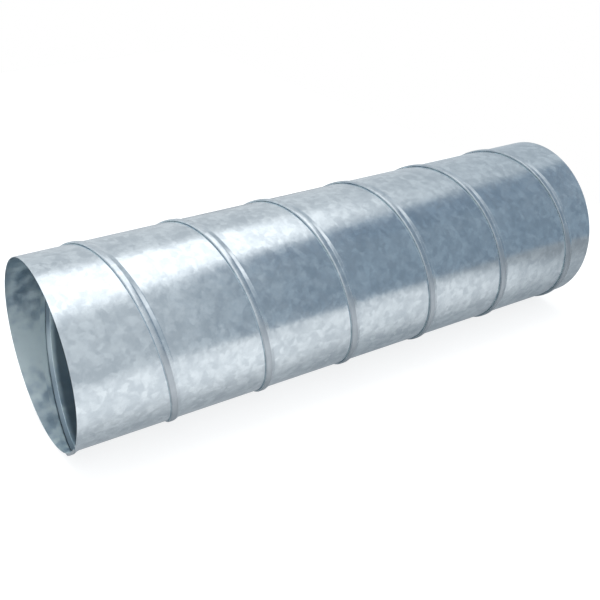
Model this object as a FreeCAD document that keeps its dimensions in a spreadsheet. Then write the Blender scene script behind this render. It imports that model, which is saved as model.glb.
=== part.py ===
"""Spiral duct section: one galvanised strip, wound into a round pipe and locked edge to edge.

The pipe lies on Z = 0 with its axis parallel to X, and its sawn ends are the two ends of X.
The lock is a right-handed helix of four pressed plies. It stands proud outside the pipe,
and inside it leaves only a narrow groove, so that fittings slide into the bore.
"""
import FreeCAD, Part
import os
import Sketcher

# Driving sizes, in millimetres and degrees
SIZES = {
    "bore": 224.0,
    "sheet": 0.6,
    "strip_width": 140.0,
    "duct_length": 750.0,
    "first_lock_at_top": 70.0,
    "lap": 7.0,
    "ply_slack": 0.2,
    "shoulder_slope": 21.0,
    "shoulder_bend": 1.2,
    "foot_bend": 8.0,
    "root_depth": 0.3,
    "groove_overcut": 0.4,
    "saw_waste": 20.0,
}

# Sizes that follow from the driving ones, written as expressions over the sheet
BORE_RADIUS = "(sizes.bore / 2)"
OUTER_RADIUS = "(sizes.bore / 2 + sizes.sheet)"
# Three plies lie over the wall, which is the fourth
LOCK_RISE = "(3 * (sizes.sheet + sizes.ply_slack))"
BACK_RADIUS = f"({OUTER_RADIUS} + {LOCK_RISE})"
# Each lock takes three laps of the strip: one hook on either edge, and the lap itself
COVER = "(sizes.strip_width - 3 * sizes.lap)"
# The shoulder's foot ends here, measured along the pipe from the folded nose
FOOT_REACH = "(sizes.foot_bend * tan(sizes.shoulder_slope / 2))"
FOOT_END = f"(sizes.lap + {LOCK_RISE} / tan(sizes.shoulder_slope) + {FOOT_REACH})"
# One turn advances by the lead, at which the strip's edges meet
LEAD = f"({COVER} / sqrt(1 - ({COVER} / (2 * pi * {OUTER_RADIUS})) ^ 2))"
# The lock starts two turns ahead of the near end, and runs out past the far one
RUN_IN = f"(2 * {LEAD})"
LOCK_START = f"(-sizes.duct_length / 2 + sizes.first_lock_at_top - {RUN_IN})"
LOCK_RUN = f"(sizes.duct_length + {RUN_IN})"

# Sketcher's names for the parts of a line, in the order of its own numbers
LINE_PARTS = ("whole", "start", "end")
ORIGIN = (-1, LINE_PARTS.index("start"))


def add_sheet(document):
    """Put the driving sizes in the document's spreadsheet, one named cell each."""
    sheet = document.addObject("Spreadsheet::Sheet", "sizes")
    for row, (name, value) in enumerate(SIZES.items(), start=1):
        sheet.set(f"A{row}", name)
        sheet.set(f"B{row}", str(value))
        sheet.setAlias(f"B{row}", name)
    document.recompute()


def add_sketch(body, name, role, direction, offset):
    """Start a sketch on one of the body's origin planes, moved by offset in one of its directions."""
    plane = next(f for f in body.Origin.OriginFeatures if f.Role == role)
    sketch = body.newObject("Sketcher::SketchObject", name)
    sketch.AttachmentSupport = [(plane, "")]
    sketch.MapMode = "FlatFace"
    sketch.setExpression(f"AttachmentOffset.Base.{direction}", offset)
    return sketch


def value_of(sketch, expression):
    """The number that an expression over the sheet comes to."""
    return float(sketch.evalExpression(expression))


def dimension(sketch, kind, places, name, expression):
    """Add a named dimension to a sketch and bind it to an expression."""
    constraint = Sketcher.Constraint(kind, *places, value_of(sketch, expression))
    sketch.renameConstraint(sketch.addConstraint(constraint), name)
    sketch.setExpression(f"Constraints.{name}", expression)


def draw_circle(sketch, name, radius):
    """Draw a circle about the pipe's axis, with its radius given as an expression."""
    shape = Part.Circle(FreeCAD.Vector(), FreeCAD.Vector(0, 0, 1), value_of(sketch, radius))
    circle = sketch.addGeometry(shape, False)
    centre = len(LINE_PARTS)
    sketch.addConstraint(Sketcher.Constraint("Coincident", circle, centre, *ORIGIN))
    dimension(sketch, "Radius", (circle,), name, radius)


def draw_outline(sketch, corners):
    """Draw a closed outline of straight lines through named corners.

    Each corner gives two expressions: its place along the axis and its distance from the axis.
    """
    start, end = LINE_PARTS.index("start"), LINE_PARTS.index("end")
    places = [
        FreeCAD.Vector(value_of(sketch, along), value_of(sketch, radius), 0)
        for along, radius in corners.values()
    ]
    count = len(places)
    for line in range(count):
        sketch.addGeometry(Part.LineSegment(places[line], places[(line + 1) % count]), False)
    for line, (name, (along, radius)) in enumerate(corners.items()):
        sketch.addConstraint(Sketcher.Constraint("Coincident", line, end, (line + 1) % count, start))
        dimension(sketch, "DistanceX", (*ORIGIN, line, start), f"{name}_along", along)
        dimension(sketch, "DistanceY", (*ORIGIN, line, start), f"{name}_radius", radius)


def add_wall(body):
    """The wound wall between the locks: a plain tube, longer than the finished pipe."""
    start = "-sizes.duct_length / 2 - sizes.saw_waste"
    section = add_sketch(body, "wall_section", "YZ_Plane", "z", start)
    draw_circle(section, "outer_radius", OUTER_RADIUS)
    draw_circle(section, "bore_radius", BORE_RADIUS)
    wall = body.newObject("PartDesign::Pad", "wall")
    wall.Profile = section
    wall.setExpression("Length", "sizes.duct_length + 2 * sizes.saw_waste")
    section.Visibility = False


def foot_point(radius, surface, turned):
    """A place on the foot's bend: the bend's radius, the surface it runs out into, its slope there."""
    along = f"{FOOT_END} - {radius} * sin({turned})"
    return along, f"{surface} + {radius} * (1 - cos({turned}))"


def add_lock_section(body):
    """The lock's outside: a folded nose, a flat back over the plies, a shoulder and its foot.

    The bends are drawn with straight sides. The fold is half of an octagon as high as three
    plies, the shoulder turns down by half its slope at a time, and so does its wide foot.
    """
    section = add_sketch(body, "lock_section", "XZ_Plane", "x", LOCK_START)
    root = f"({OUTER_RADIUS} - sizes.root_depth)"
    corner = f"({LOCK_RISE} / 2 * (1 - tan(22.5)))"
    slope = "sizes.shoulder_slope"
    reach = f"(sizes.shoulder_bend * tan({slope} / 2))"
    draw_outline(
        section,
        {
            "crease": (f"{corner} + sizes.root_depth", root),
            "fold_low": ("0", f"{OUTER_RADIUS} + {corner}"),
            "fold_high": ("0", f"{BACK_RADIUS} - {corner}"),
            "back_near": (corner, BACK_RADIUS),
            "back_far": (f"sizes.lap - {reach}", BACK_RADIUS),
            "shoulder": (f"sizes.lap + {reach} * cos({slope})", f"{BACK_RADIUS} - {reach} * sin({slope})"),
            "foot_high": foot_point("sizes.foot_bend", OUTER_RADIUS, slope),
            "foot_middle": foot_point("sizes.foot_bend", OUTER_RADIUS, f"{slope} / 2"),
            "foot_end": (f"{FOOT_END} + sizes.root_depth / tan({slope} / 4)", root),
        },
    )
    return section


def add_groove_section(body):
    """The groove inside the pipe, between the folded edge and the underside of the shoulder.

    It is as deep as the two plies of the fold and leaves one sheet under the shoulder.
    """
    section = add_sketch(body, "groove_section", "XZ_Plane", "x", LOCK_START)
    depth = "(2 * sizes.sheet)"
    underside = "(sizes.foot_bend + sizes.sheet)"
    # The foot's bend ends at the shoulder's slope, or where it is already as deep as the groove
    bend = f"min(sizes.shoulder_slope * 1 deg; acos(1 - {depth} / {underside}))"
    ramp = f"({depth} - {underside} * (1 - cos({bend}))) / tan(sizes.shoulder_slope)"
    middle = f"({bend} * 0.6)"
    mouth = f"{BORE_RADIUS} - sizes.groove_overcut"
    draw_outline(
        section,
        {
            "fold": (f"sizes.lap - {depth} - sizes.groove_overcut", mouth),
            "ramp": (f"{FOOT_END} - {underside} * sin({bend}) - {ramp}", f"{BORE_RADIUS} + {depth}"),
            "foot_middle": foot_point(underside, BORE_RADIUS, middle),
            "foot_end": (f"{FOOT_END} + sizes.groove_overcut / tan({middle} / 2)", mouth),
        },
    )
    return section


def add_helix(body, kind, name, section):
    """Sweep a section round the pipe's axis, as a right-handed helix of the strip's lead."""
    helix = body.newObject(kind, name)
    helix.Profile = section
    helix.ReferenceAxis = (section, ["H_Axis"])
    helix.Mode = "pitch-height-angle"
    helix.LeftHanded = False
    helix.Refine = False
    helix.setExpression("Pitch", LEAD)
    helix.setExpression("Height", LOCK_RUN)
    section.Visibility = False


def saw_end(body, name, offset, towards_far_end):
    """Saw off everything past a plane square to the axis."""
    section = add_sketch(body, f"{name}_section", "YZ_Plane", "z", offset)
    draw_circle(section, "blade_reach", f"2 * {BACK_RADIUS}")
    cut = body.newObject("PartDesign::Pocket", name)
    cut.Profile = section
    cut.Type = "ThroughAll"
    cut.Reversed = towards_far_end
    cut.Refine = False
    section.Visibility = False


def build_duct(document):
    """The whole duct: wall, lock and groove, sawn to length and laid on the floor."""
    body = document.addObject("PartDesign::Body", "spiral_duct")
    body.Label = "spiral_duct"
    add_wall(body)
    lock_section = add_lock_section(body)
    groove_section = add_groove_section(body)
    document.recompute()
    add_helix(body, "PartDesign::AdditiveHelix", "lock", lock_section)
    add_helix(body, "PartDesign::SubtractiveHelix", "groove", groove_section)
    saw_end(body, "near_saw_cut", "-sizes.duct_length / 2", False)
    saw_end(body, "far_saw_cut", "sizes.duct_length / 2", True)
    body.setExpression("Placement.Base.z", BACK_RADIUS)
    document.recompute()
    return body


def check(document, bodies):
    """Stop where an object failed, or where a body isn't one valid solid."""
    for item in document.Objects:
        if {"Invalid", "Error"} & set(item.State):
            raise RuntimeError(f"{item.Name} failed: {item.State}")
    for body in bodies:
        if body.Shape.isNull() or not body.Shape.isValid() or len(body.Shape.Solids) != 1:
            raise RuntimeError(f"{body.Label} is not one valid solid")


def main():
    document = FreeCAD.newDocument("spiral_duct_section")
    add_sheet(document)
    duct = build_duct(document)
    check(document, [duct])
    os.makedirs("parts", exist_ok=True)
    duct.Shape.exportStep(f"parts/{duct.Label}.step")
    box = duct.Shape.optimalBoundingBox()
    print(f"lead {document.getObject('lock').Pitch}, volume {duct.Shape.Volume:.0f} mm3")
    print(f"length {box.XLength:.2f}, width {box.YLength:.2f}, height {box.ZLength:.2f}, floor {box.ZMin:.3f}")


main()
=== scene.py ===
"""Looks of a spiral duct section: a galvanised strip wound into a round duct, on a pale floor."""
import math
import bpy
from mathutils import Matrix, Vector


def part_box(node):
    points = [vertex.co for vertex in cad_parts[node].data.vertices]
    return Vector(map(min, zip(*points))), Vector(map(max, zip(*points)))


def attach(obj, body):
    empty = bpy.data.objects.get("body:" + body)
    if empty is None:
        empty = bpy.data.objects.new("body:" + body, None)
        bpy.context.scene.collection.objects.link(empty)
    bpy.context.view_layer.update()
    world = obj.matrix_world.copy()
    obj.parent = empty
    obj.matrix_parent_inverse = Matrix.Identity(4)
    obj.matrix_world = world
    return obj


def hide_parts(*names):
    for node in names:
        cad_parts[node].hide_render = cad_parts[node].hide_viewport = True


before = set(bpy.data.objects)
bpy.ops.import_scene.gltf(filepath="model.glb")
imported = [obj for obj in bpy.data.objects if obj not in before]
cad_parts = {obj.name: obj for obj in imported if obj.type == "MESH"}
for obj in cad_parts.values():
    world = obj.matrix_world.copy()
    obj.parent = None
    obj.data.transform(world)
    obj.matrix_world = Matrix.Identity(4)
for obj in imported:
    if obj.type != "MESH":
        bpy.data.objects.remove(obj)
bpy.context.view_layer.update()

MM = 0.001

# The duct's sizes, in metres and radians
BORE = 224 * MM
SHEET = 0.6 * MM
STRIP_WIDTH = 140 * MM
LAP = 7 * MM
LAPS_PER_LOCK = 3
PLY_SLACK = 0.2 * MM
PLIES_OVER_WALL = 3
SHOULDER_SLOPE = math.radians(21)
SHOULDER_BEND = 6 * MM
FOOT_BEND = 2 * MM
FIRST_LOCK_AT_TOP = 70 * MM
# The lock's back is crowned, and leans by this much at either side
CROWN = math.radians(3)
# The winding starts this many turns ahead of the first lock, and runs out past the far end
RUN_IN = 2
TURNS = 7.7
# The saw leaves a block this wide and high, and the duct lies well inside it
SAW_ROOM = 1.0

# Sizes that follow from these, and from the solid's own box
low, high = (Vector(corner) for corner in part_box("spiral_duct"))
LENGTH = high.x - low.x
AXIS_HEIGHT = (low.z + high.z) / 2
BORE_RADIUS = BORE / 2
OUTER_RADIUS = BORE_RADIUS + SHEET
COVER = STRIP_WIDTH - LAPS_PER_LOCK * LAP
LEAD = COVER / math.sqrt(1 - (COVER / (math.tau * OUTER_RADIUS)) ** 2)
LEAD_ANGLE = math.atan(LEAD / (math.tau * OUTER_RADIUS))
PLY_PITCH = SHEET + PLY_SLACK
LOCK_START = low.x + FIRST_LOCK_AT_TOP - RUN_IN * LEAD

# Steps of the wound mesh
STEPS_PER_TURN = 108
FOLD_STEPS = 8
BACK_STEPS = 4
BEND_STEPS = 5
WEB_STEPS = 14
# A short step beside each bend keeps the wall's shading flat up to it
HOLD = 0.4 * MM
# Edges that turn by more than this are shaded sharp
SHARP_ABOVE = math.radians(40)


class Wire:
    """An output of a node, with arithmetic: each operation adds one Math node to its tree."""

    def __init__(self, nodes, socket):
        self.nodes = nodes
        self.socket = socket

    def math(self, operation, *others):
        values = dict(enumerate((self, *others)))
        return self.nodes.add("ShaderNodeMath", {"operation": operation}, values)

    def __add__(self, other):
        return self.math("ADD", other)

    def __sub__(self, other):
        return self.math("SUBTRACT", other)

    def __mul__(self, other):
        return self.math("MULTIPLY", other)

    def __truediv__(self, other):
        return self.math("DIVIDE", other)

    def __rsub__(self, other):
        return self.nodes.number(other).math("SUBTRACT", self)

    def __rtruediv__(self, other):
        return self.nodes.number(other).math("DIVIDE", self)

    __radd__ = __add__
    __rmul__ = __mul__

    def step(self, start, end, before=0.0, after=1.0):
        """Go smoothly from one level to another as this goes from start to end."""
        settings = {"interpolation_type": "SMOOTHSTEP"}
        levels = {"From Min": start, "From Max": end, "To Min": before, "To Max": after}
        return self.nodes.add("ShaderNodeMapRange", settings, {"Value": self, **levels}, "Result")

    def fall(self, start, end, rest=0.0):
        """Go smoothly from one down to rest as this goes from start to end."""
        return self.step(start, end, 1.0, rest)


class Nodes:
    """Adds nodes to one tree, a shader or a modifier's."""

    def __init__(self, tree):
        self.tree = tree

    def add(self, kind, settings=None, values=None, output=0):
        """Add a node: its settings, then values or wires into its inputs. Return one output."""
        node = self.tree.nodes.new(kind)
        for name, setting in (settings or {}).items():
            setattr(node, name, setting)
        for name, value in (values or {}).items():
            self.put(node.inputs[name], value)
        return Wire(self, node.outputs[output]) if len(node.outputs) else node

    def put(self, socket, value):
        """Give an input its value, or link a wire to it."""
        if isinstance(value, Wire):
            self.tree.links.new(value.socket, socket)
        else:
            socket.default_value = value

    def number(self, value):
        """A fixed number, as a wire."""
        return self.add("ShaderNodeMath", {"operation": "ADD"}, {0: value, 1: 0.0})

    def vector(self, operation, *vectors):
        """Arithmetic on vectors, in one node."""
        return self.add("ShaderNodeVectorMath", {"operation": operation}, dict(enumerate(vectors)))

    def split(self, vector):
        """The three parts of a vector, as wires."""
        node = self.add("ShaderNodeSeparateXYZ", None, {0: vector}).socket.node
        return [Wire(self, output) for output in node.outputs]

    def join(self, x, y, z):
        """A vector of three numbers or wires."""
        return self.add("ShaderNodeCombineXYZ", None, {0: x, 1: y, 2: z})

    def noise(self, place, pattern, output=0):
        """Noise of a given pattern, over a place on the piece."""
        return self.add("ShaderNodeTexNoise", None, {"Vector": place, **pattern}, output)

    def mix(self, factor, first, second):
        """Mix two colours."""
        node = self.tree.nodes.new("ShaderNodeMix")
        node.data_type = "RGBA"
        for name, value in (("Factor_Float", factor), ("A_Color", first), ("B_Color", second)):
            socket = next(s for s in node.inputs if s.identifier == name)
            self.put(socket, value)
        return Wire(self, next(s for s in node.outputs if s.identifier == "Result_Color"))


def fresh_nodes(owner):
    """Empty the tree of a material or a world, and return what adds nodes to it."""
    owner.use_nodes = True
    owner.node_tree.nodes.clear()
    return Nodes(owner.node_tree)


def in_scene(name, data):
    """A new object for a mesh, a lamp or a camera, linked to the scene."""
    item = bpy.data.objects.new(name, data)
    bpy.context.scene.collection.objects.link(item)
    return item


def tint(red, green, blue):
    """An opaque colour, or past one the colour of a strong light."""
    return (red, green, blue, 1.0)


def grey(level):
    return tint(level, level, level)


# The wound strip


def strip_bends():
    """The strip's bends from one free edge to the other, as a roll former makes them.

    Each is a straight run, its number of steps, a turn, and the turn's radius and steps.
    """
    nose = PLY_PITCH + SHEET / 2
    hook = LAP - 2 * nose
    shoulder = SHOULDER_BEND - SHEET / 2
    foot = FOOT_BEND + SHEET / 2
    back = LAP - SHOULDER_BEND * math.tan(SHOULDER_SLOPE / 2) - nose
    # The crown's radius, and how much lower its sides are than its middle
    crown = back / 2 / math.sin(CROWN)
    sag = crown * (1 - math.cos(CROWN))
    # The ramp comes down by what the crown and the two bends leave of the lock's height
    drop = PLIES_OVER_WALL * PLY_PITCH - sag
    drop -= shoulder * (math.cos(CROWN) - math.cos(SHOULDER_SLOPE))
    drop -= foot * (1 - math.cos(SHOULDER_SLOPE))
    ramp = drop / math.sin(SHOULDER_SLOPE)
    # The fold climbs two pitches round the other edge's hook, less what the crown sags
    fold = (2 * PLY_PITCH - sag) / (1 + math.cos(CROWN))
    bends = [
        (hook, 1, CROWN - math.pi, fold, FOLD_STEPS),
        (0.0, 0, -2 * CROWN, crown, BACK_STEPS),
        (0.0, 0, CROWN - SHOULDER_SLOPE, shoulder, BEND_STEPS),
        (ramp, 1, SHOULDER_SLOPE, foot, BEND_STEPS),
    ]
    foot_end, _ = strip_middle(bends)[-1]
    web = LEAD + LAP - nose - foot_end.x
    return bends + [
        (HOLD, 1, 0.0, 0.0, 0),
        (web - 2 * HOLD, WEB_STEPS, 0.0, 0.0, 0),
        (HOLD, 1, math.pi, PLY_PITCH, FOLD_STEPS),
        (hook, 1, 0.0, 0.0, 0),
    ]


def strip_middle(bends):
    """Walk the bends: points along the middle of the sheet, each with its heading.

    A point's first part runs along the duct from the lock's nose, its second out from the bore.
    """
    heading = math.pi
    place = Vector((LAP - PLY_PITCH - SHEET / 2, PLY_PITCH + SHEET / 2))
    walked = [(place.copy(), heading)]
    for run, run_steps, turn, radius, turn_steps in bends:
        ahead = Vector((math.cos(heading), math.sin(heading)))
        start = place.copy()
        for step in range(1, run_steps + 1):
            place = start + ahead * run * step / run_steps
            walked.append((place.copy(), heading))
        side = math.copysign(radius, turn)
        centre = place + Vector((-ahead.y, ahead.x)) * side
        for step in range(1, turn_steps + 1):
            angle = heading + turn * step / turn_steps
            place = centre - Vector((-math.sin(angle), math.cos(angle))) * side
            walked.append((place.copy(), angle))
        heading += turn
    return walked


def strip_section():
    """The strip's closed outline, half a sheet to either side of its middle, as an object."""
    left, right = [], []
    for place, heading in strip_middle(strip_bends()):
        across = Vector((-math.sin(heading), math.cos(heading))) * SHEET / 2
        left.append(place + across)
        right.append(place - across)
    outline = [(point.x, point.y, 0.0) for point in right + left[::-1]]
    count = len(outline)
    mesh = bpy.data.meshes.new("strip_section")
    mesh.from_pydata(outline, [(i, (i + 1) % count) for i in range(count)], [])
    return in_scene("strip_section", mesh)


def keep(nodes, geometry, name, kind, value):
    """Store a value on each point of a geometry, under a name."""
    values = {"Geometry": geometry, "Name": name, "Value": value}
    settings = {"data_type": kind, "domain": "POINT"}
    return nodes.add("GeometryNodeStoreNamedAttribute", settings, values)


def recall(nodes, name, kind):
    """Read a stored value back."""
    return nodes.add("GeometryNodeInputNamedAttribute", {"data_type": kind}, {"Name": name})


def winding_tree():
    """Winds a strip's section round the X axis, saws it to length and gives it its metal."""
    tree = bpy.data.node_groups.new("wind_strip", "GeometryNodeTree")
    tree.is_modifier = True
    for name, kind in (
        ("Section", "NodeSocketObject"),
        ("Bore radius", "NodeSocketFloat"),
        ("Lead", "NodeSocketFloat"),
        ("Start", "NodeSocketFloat"),
        ("Turns", "NodeSocketFloat"),
        ("Steps", "NodeSocketInt"),
        ("Length", "NodeSocketFloat"),
        ("Axis height", "NodeSocketFloat"),
        ("Sharp above", "NodeSocketFloat"),
        ("Metal", "NodeSocketMaterial"),
    ):
        tree.interface.new_socket(name, in_out="INPUT", socket_type=kind)
    tree.interface.new_socket("Geometry", in_out="OUTPUT", socket_type="NodeSocketGeometry")
    nodes = Nodes(tree)
    given = nodes.add("NodeGroupInput").socket.node
    size = {socket.name: Wire(nodes, socket) for socket in given.outputs if socket.name}

    # Sweep the section along a straight rail, with its own place and the turn kept on each point
    section = nodes.add("GeometryNodeObjectInfo", None, {"Object": size["Section"]}, "Geometry")
    profile = nodes.add("GeometryNodeMeshToCurve", None, {"Mesh": section})
    position = nodes.add("GeometryNodeInputPosition")
    profile = keep(nodes, profile, "section", "FLOAT_VECTOR", position)
    rail_end = nodes.join(0.0, 0.0, size["Turns"])
    rail = nodes.add("GeometryNodeCurvePrimitiveLine", None, {"End": rail_end})
    values = {"Curve": rail, "Count": size["Steps"] + 1}
    rail = nodes.add("GeometryNodeResampleCurve", None, values)
    turn = nodes.add("GeometryNodeSplineParameter") * size["Turns"]
    rail = keep(nodes, rail, "turn", "FLOAT", turn)
    values = {"Curve": rail, "Profile Curve": profile, "Fill Caps": True}
    strip = nodes.add("GeometryNodeCurveToMesh", None, values)

    # Wind it: each point goes to its place on the helix
    along, out, _ = nodes.split(recall(nodes, "section", "FLOAT_VECTOR"))
    turn = recall(nodes, "turn", "FLOAT")
    angle = turn * math.tau
    radius = size["Bore radius"] + out
    x = size["Start"] + along + size["Lead"] * turn
    y = radius * angle.math("SINE") * -1.0
    z = radius * angle.math("COSINE") + size["Axis height"]
    values = {"Geometry": strip, "Position": nodes.join(x, y, z)}
    strip = nodes.add("GeometryNodeSetPosition", None, values)

    # Saw both ends square, by keeping what lies in a block of the duct's length
    block = nodes.join(size["Length"], SAW_ROOM, SAW_ROOM)
    block = nodes.add("GeometryNodeMeshCube", None, {"Size": block}, "Mesh")
    settings = {"operation": "INTERSECT", "solver": "MANIFOLD"}
    duct = nodes.add("GeometryNodeMeshBoolean", settings, {"Mesh 2": strip})
    nodes.put(duct.socket.node.inputs["Mesh 2"], block)

    values = {"Geometry": duct, "Shade Smooth": True}
    duct = nodes.add("GeometryNodeSetShadeSmooth", {"domain": "FACE"}, values)
    bent = nodes.add("GeometryNodeInputMeshEdgeAngle").math("GREATER_THAN", size["Sharp above"])
    values = {"Geometry": duct, "Selection": bent, "Shade Smooth": False}
    duct = nodes.add("GeometryNodeSetShadeSmooth", {"domain": "EDGE"}, values)
    duct = nodes.add("GeometryNodeRealizeInstances", None, {"Geometry": duct})
    values = {"Geometry": duct, "Material": size["Metal"]}
    duct = nodes.add("GeometryNodeSetMaterial", None, values)
    nodes.add("NodeGroupOutput", None, {"Geometry": duct})
    return tree


def wind_duct(metal):
    """Wind the strip and return the duct as one plain piece."""
    section = strip_section()
    winder = in_scene("winder", bpy.data.meshes.new("winder"))
    modifier = winder.modifiers.new("wind_strip", "NODES")
    modifier.node_group = winding_tree()
    sizes = {
        "Section": section,
        "Bore radius": BORE_RADIUS,
        "Lead": LEAD,
        "Start": LOCK_START,
        "Turns": TURNS,
        "Steps": round(TURNS * STEPS_PER_TURN),
        "Length": LENGTH,
        "Axis height": AXIS_HEIGHT,
        "Sharp above": SHARP_ABOVE,
        "Metal": metal,
    }
    for socket in modifier.node_group.interface.items_tree:
        if socket.in_out == "INPUT":
            modifier[socket.identifier] = sizes[socket.name]
    graph = bpy.context.evaluated_depsgraph_get()
    mesh = bpy.data.meshes.new_from_object(winder.evaluated_get(graph), depsgraph=graph)
    mesh.name = "wound_duct"
    bpy.data.objects.remove(winder)
    bpy.data.objects.remove(section)
    return in_scene("wound_duct", mesh)


# Metal

# The zinc outside, from its dull grains to its bright ones
DULL_ZINC = tint(0.56, 0.61, 0.65)
BRIGHT_ZINC = tint(0.76, 0.81, 0.84)
# On the lock: painted shade along its nose crease, and on its back scuffed zinc with painted shade
# on its lower side
NOSE_SHADE_ZINC = tint(0.25, 0.29, 0.33)
SCUFF_AND_SHADE_ZINC = tint(0.42, 0.45, 0.48)
# In the bore, between its light blotches and on them, where the blotches carry painted light, and
# the painted shade over both
BORE_ZINC = tint(0.58, 0.71, 0.81)
PAINTED_LIGHT_ZINC = tint(0.89, 0.99, 1.0)
PAINTED_BORE_SHADE = tint(0.06, 0.09, 0.12)
# How much of the metal under it each of these hides
SCUFF_AND_SHADE_COVER = 0.75
BORE_COVER = 0.85
BORE_SHADE_COVER = 0.93
# Roughness of the bright zinc, and what each mark and the bore add to it
SATIN = 0.16
DULL_HAZE = 0.06
SPECKLE_HAZE = 0.05
RUBBED_HAZE = 0.2
NOSE_HAZE = 0.25
BORE_HAZE = 0.15
BLOTCH_HAZE = 0.22

# Patterns of the grain, by their patches in a metre
CLOUD = {"Scale": 30.0, "Detail": 5.0, "Roughness": 0.72}
BLOTCH = {"Scale": 55.0, "Detail": 2.0}
DRIFT = {"Scale": 90.0, "Detail": 3.0}
TILT = {"Scale": 110.0, "Detail": 4.0, "Roughness": 0.65}
CRYSTAL = {"Scale": 150.0, "Smoothness": 0.8}
SPECKLE = {"Scale": 420.0, "Detail": 3.0, "Roughness": 0.6}
# How far the drift pushes the crystals' edges, and how far the tilt turns the metal's face
DRIFT_REACH = 14 * MM
TILT_REACH = 0.045
# How deep the clouds' relief is
RELIEF = {"Strength": 0.2, "Distance": 0.4 * MM}


class Wall:
    """Where a point lies on the duct, as wires in a material's tree."""

    def __init__(self, nodes):
        x, y, z = nodes.split(nodes.add("ShaderNodeTexCoord", output="Object"))
        self.x = x
        self.up = z - AXIS_HEIGHT
        self.radius = (y * y + self.up * self.up).math("SQRT")
        # How far in from the nearer end
        self.depth = x.math("ABSOLUTE") * -1.0 + LENGTH / 2
        # Unroll the wall, and count the strip's turns
        angle = (y * -1.0).math("ARCTAN2", self.up)
        turns = (x - LOCK_START) / LEAD - angle / math.tau
        wrap = turns.math("FLOOR")
        # How far along the duct from the last lock's nose
        self.past_nose = (turns - wrap) * LEAD
        around = (angle + wrap * math.tau) * OUTER_RADIUS
        ahead = x * math.sin(LEAD_ANGLE) + around * math.cos(LEAD_ANGLE)
        across = x * math.cos(LEAD_ANGLE) - around * math.sin(LEAD_ANGLE)
        self.flat = nodes.join(ahead, across, wrap)
        # One on the faces that look in at the axis, and nought on those that look out
        self.normal = nodes.add("ShaderNodeNewGeometry", output="Normal")
        _, facing_y, facing_z = nodes.split(self.normal)
        self.inner = ((facing_y * y + facing_z * self.up) / self.radius).fall(-0.4, -0.1)


def lock_shade_and_scuffs(wall):
    """Masks of the lock's marks: painted shade along its nose crease, and on its back scuffs that
    carry painted shade on the lower side.
    """
    on_lock = wall.radius.step(OUTER_RADIUS, OUTER_RADIUS + 0.3 * MM)
    # Painted shade: a dark line along the lock's nose crease
    nose_shade = wall.past_nose.fall(0.9 * MM, 1.6 * MM) * on_lock
    # The back is scuffed, and the mark is darker on its lower side as painted shade
    back = wall.radius.step(OUTER_RADIUS + 1.5 * MM, OUTER_RADIUS + 2.1 * MM)
    scuff_and_shade = back * (1.0 - wall.inner) * wall.up.fall(15 * MM, 50 * MM, 0.12)
    return nose_shade, scuff_and_shade


def bore_shade(wall):
    """A mask of painted shade inside: in the lock's groove, and past the first lock of each end.
    """
    groove = wall.radius.step(BORE_RADIUS, BORE_RADIUS + 0.25 * MM)
    groove = groove * wall.past_nose.step(3 * MM, 5 * MM)
    # The groove's painted shade is stronger at the bottom and over its upper half than between
    # them
    low_down = wall.up.step(-85 * MM, -50 * MM, 0.78, 0.45)
    high_up = wall.up.step(-45 * MM, -15 * MM, 0.0, 0.43)
    # Painted shade in a band just inside each end
    band = wall.past_nose.step(13 * MM, 20 * MM, 0.0, 0.68) * wall.past_nose.fall(55 * MM, 85 * MM)
    band = band * wall.depth.fall(86 * MM, 110 * MM)
    return wall.inner * (groove * (low_down + high_up)).math("MAXIMUM", band)


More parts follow.
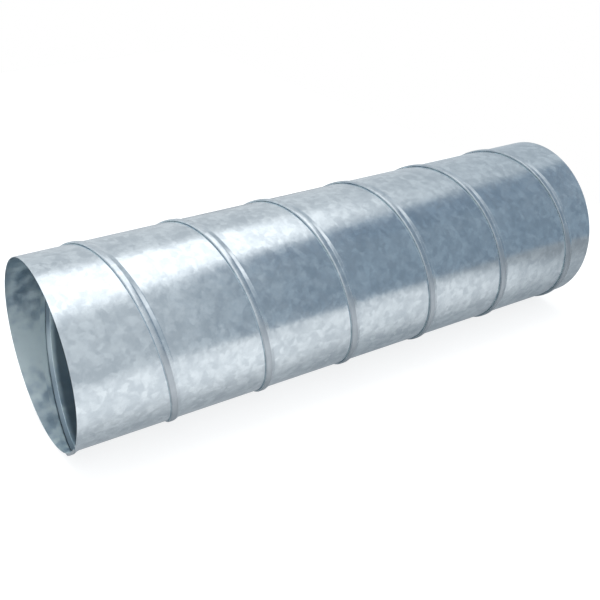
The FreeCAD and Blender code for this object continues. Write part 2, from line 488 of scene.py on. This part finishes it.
def galvanised_metal():
    """Galvanised sheet: soft zinc grain, laid along the strip so that it breaks at each lock."""
    material = bpy.data.materials.new("galvanised_sheet")
    nodes = fresh_nodes(material)
    wall = Wall(nodes)
    nose_shade, scuff_and_shade = lock_shade_and_scuffs(wall)
    bore_shade_mask = bore_shade(wall)

    cloud = nodes.noise(wall.flat, CLOUD)
    speckle = nodes.noise(wall.flat, SPECKLE)
    drift = nodes.noise(wall.flat, DRIFT, "Color")
    warped = nodes.vector("MULTIPLY_ADD", drift, (DRIFT_REACH, DRIFT_REACH, 0.0), wall.flat)
    values = {"Vector": warped, **CRYSTAL}
    crystals = nodes.add("ShaderNodeTexVoronoi", {"feature": "SMOOTH_F1"}, values, "Color")
    tone, dull, _ = nodes.split(crystals)
    # The bore's light blotches are partly random and partly painted light, which lies low on its
    # sides
    light_band = wall.up.step(-35 * MM, 20 * MM, 0.3, 0.15) * wall.up.step(-100 * MM, -50 * MM, 0.4, 1.0)
    blotch_and_light = (nodes.noise(wall.flat, BLOTCH) * 0.7 + light_band).step(0.34, 0.66) * (1.0 - bore_shade_mask)

    # Clouds give most of the shade, then each crystal's own tone, then speckle
    shade = (cloud * 0.64 + tone * 0.25 + speckle * 0.11).step(0.32, 0.68)
    colour = nodes.mix(shade, DULL_ZINC, BRIGHT_ZINC)
    # Scuffed zinc on the lock's back, with painted shade on its lower side
    colour = nodes.mix(scuff_and_shade * SCUFF_AND_SHADE_COVER, colour, SCUFF_AND_SHADE_ZINC)
    # The painted shade along the nose is darkest towards the far end
    colour = nodes.mix(nose_shade * wall.x.step(-0.2, 0.25, 0.2, 0.6), colour, NOSE_SHADE_ZINC)
    # The bore's blotches, with painted light low on its sides
    bore_zinc = nodes.mix(blotch_and_light, BORE_ZINC, PAINTED_LIGHT_ZINC)
    colour = nodes.mix(wall.inner * BORE_COVER, colour, bore_zinc)
    # Painted shade in the bore's groove and just inside each end
    colour = nodes.mix(bore_shade_mask * BORE_SHADE_COVER, colour, PAINTED_BORE_SHADE)
    roughness = SATIN + dull * DULL_HAZE + speckle * SPECKLE_HAZE
    roughness = roughness + scuff_and_shade * RUBBED_HAZE + nose_shade * NOSE_HAZE
    roughness = roughness + wall.inner * (blotch_and_light * BLOTCH_HAZE + BORE_HAZE)

    # Each patch of grain leans its own way, by a degree or so
    lean = nodes.vector("SUBTRACT", nodes.noise(wall.flat, TILT, "Color"), (0.5, 0.5, 0.5))
    leant = nodes.vector("MULTIPLY_ADD", lean, (TILT_REACH, TILT_REACH, TILT_REACH), wall.normal)
    leant = nodes.vector("NORMALIZE", leant)
    bump = nodes.add("ShaderNodeBump", None, {**RELIEF, "Height": cloud, "Normal": leant})
    values = {"Base Color": colour, "Metallic": 1.0, "Roughness": roughness, "Normal": bump}
    surface = nodes.add("ShaderNodeBsdfPrincipled", None, values)
    nodes.add("ShaderNodeOutputMaterial", None, {"Surface": surface})
    return material


# Studio

# The room that the duct mirrors, as the colour and strength of its light
ROOM = tint(0.70, 0.745, 0.78)
ROOM_RIGHT = tint(0.50, 0.57, 0.63)
PANEL = tint(1.65, 1.68, 1.70)
DARK_HIGH = tint(0.21, 0.29, 0.38)
DARK_LOW = tint(0.27, 0.35, 0.43)
DARK_RIGHT = tint(0.22, 0.30, 0.385)
SCREEN_OVERHEAD = tint(1.4, 1.43, 1.45)
SCREEN_HIGH = tint(1.2, 1.25, 1.29)
SCREEN_LOW = tint(0.66, 0.73, 0.78)
LEFT_HIGH = tint(0.95, 1.0, 1.04)
LEFT_LOW = tint(0.58, 0.66, 0.73)
LEFT_END = tint(1.0, 1.06, 1.1)

# The paper floor's edges, and its light to the camera and to the metal
FLOOR_LEFT, FLOOR_RIGHT, FLOOR_BACK = -2.4, 0.74, 1.8
FLOOR_FRONT_LEFT, FLOOR_FRONT_RIGHT = -0.38, -0.60
PAPER = grey(0.3)
MIRRORED_PAPER = grey(0.35)
MIRRORED_TINT = tint(0.86, 1.0, 1.12)
SEEN_GLOW = 0.8
MIRRORED_GLOW = 0.46

# The lamp overhead: its place, the length of its sides, its turn and its power in watts
LAMP_PLACE = (-0.06, 0.16, 1.25)
LAMP_SIDE = 0.85
LAMP_TURN = math.radians(-32)
LAMP_POWER = 16.0

# Where the camera stands and looks, and its lens and sensor in millimetres
EYE = (-0.6116, -0.9040, 0.6401)
FORWARD = (0.48011, 0.74927, -0.45616)
LENS = 56.0
SENSOR = 36.0


def floor_sheet():
    """A white paper sheet under the duct. The duct mirrors its front and right edges."""
    corners = [
        (FLOOR_LEFT, FLOOR_FRONT_LEFT, 0.0),
        (FLOOR_RIGHT, FLOOR_FRONT_RIGHT, 0.0),
        (FLOOR_RIGHT, FLOOR_BACK, 0.0),
        (FLOOR_LEFT, FLOOR_BACK, 0.0),
    ]
    mesh = bpy.data.meshes.new("paper_floor")
    mesh.from_pydata(corners, [], [(0, 1, 2, 3)])
    material = bpy.data.materials.new("white_paper")
    nodes = fresh_nodes(material)
    path = nodes.add("ShaderNodeLightPath").socket.node
    rays = ("Is Camera Ray", "Is Glossy Ray")
    seen, mirrored = (Wire(nodes, path.outputs[ray]) for ray in rays)
    # What the duct mirrors of the paper falls into shade towards the right, and under the duct
    x, y, _ = nodes.split(nodes.add("ShaderNodeTexCoord", output="Object"))
    shaded = x.fall(-0.12, 0.05, 0.86) * x.fall(0.28, 0.55, 0.48) * y.fall(-0.15, -0.07, 0.75)
    colour = nodes.mix(mirrored, PAPER, nodes.mix(shaded, grey(0.0), MIRRORED_PAPER))
    paper = nodes.add("ShaderNodeBsdfDiffuse", None, {"Color": colour})
    colour = nodes.mix(mirrored * shaded.fall(0.45, 1.0, 0.25), grey(1.0), MIRRORED_TINT)
    glow = seen * SEEN_GLOW + mirrored * shaded * MIRRORED_GLOW
    bright = nodes.add("ShaderNodeEmission", None, {"Color": colour, "Strength": glow})
    both = nodes.add("ShaderNodeAddShader", None, {0: paper, 1: bright})
    nodes.add("ShaderNodeOutputMaterial", None, {"Surface": both})
    mesh.materials.append(material)
    floor = in_scene("paper_floor", mesh)


def studio_world():
    """White to the camera. The duct mirrors a pale room, whose front right quarter is dark."""
    world = bpy.data.worlds.new("studio")
    bpy.context.scene.world = world
    nodes = fresh_nodes(world)
    # A direction's part along the duct, and its lean: nought overhead, half level in front
    x, y, z = nodes.split(nodes.add("ShaderNodeTexCoord", output="Generated"))
    lean = (y * -1.0).math("ARCTAN2", z) / math.pi
    room = nodes.mix(x.step(0.5, 0.75), ROOM, ROOM_RIGHT)
    # The panel overhead ends in front along a line that climbs towards the right
    front = (lean + x * 0.43).step(0.205, 0.285)
    overhead = lean.step(-0.23, -0.13) * (1.0 - front) * x.fall(0.445, 0.56)
    room = nodes.mix(overhead, room, PANEL)
    # The dark quarter, in front of the panel
    dark = nodes.mix(lean.step(0.08, 0.22), DARK_HIGH, DARK_LOW)
    dark = nodes.mix(x.step(0.6, 0.78), dark, DARK_RIGHT)
    room = nodes.mix(front * x.step(0.345, 0.44), room, dark)
    # A pale screen past the far end, brightest overhead
    screen = nodes.mix(lean.step(0.12, 0.4), SCREEN_HIGH, SCREEN_LOW)
    screen = nodes.mix(lean.step(0.0, 0.12), SCREEN_OVERHEAD, screen)
    beyond = x.step(0.765, 0.815) * x.fall(0.865, 0.92, 0.1) * lean.step(-0.35, -0.2)
    room = nodes.mix(beyond, room, screen)
    # The pale side that the near end faces
    left = nodes.mix(lean.step(0.05, 0.15), LEFT_HIGH, LEFT_LOW)
    left = nodes.mix(x.step(-0.42, -0.25), LEFT_END, left)
    room = nodes.mix(x.fall(-0.5, -0.05), room, left)
    seen = nodes.add("ShaderNodeLightPath", output="Is Camera Ray")
    colour = nodes.mix(seen, room, grey(1.0))
    background = nodes.add("ShaderNodeBackground", None, {"Color": colour})
    nodes.add("ShaderNodeOutputWorld", None, {"Surface": background})


def overhead_lamp():
    """A soft square lamp that shines straight down. The metal doesn't mirror it."""
    light = bpy.data.lights.new("overhead", "AREA")
    light.size = LAMP_SIDE
    light.energy = LAMP_POWER
    lamp = in_scene("overhead", light)
    lamp.location = LAMP_PLACE
    lamp.rotation_euler.z = LAMP_TURN
    lamp.visible_camera = False
    lamp.visible_glossy = False


def place_camera():
    """The photograph's view: from above the near end's left, with no roll."""
    camera = bpy.data.cameras.new("camera")
    camera.lens = LENS
    camera.sensor_width = SENSOR
    eye = in_scene("camera", camera)
    eye.location = EYE
    eye.rotation_euler = Vector(FORWARD).to_track_quat("-Z", "Y").to_euler()
    bpy.context.scene.camera = eye


bpy.context.scene.view_settings.view_transform = "Standard"
duct = wind_duct(galvanised_metal())
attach(duct, "root")
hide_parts("spiral_duct")
floor_sheet()
studio_world()
overhead_lamp()
place_camera()
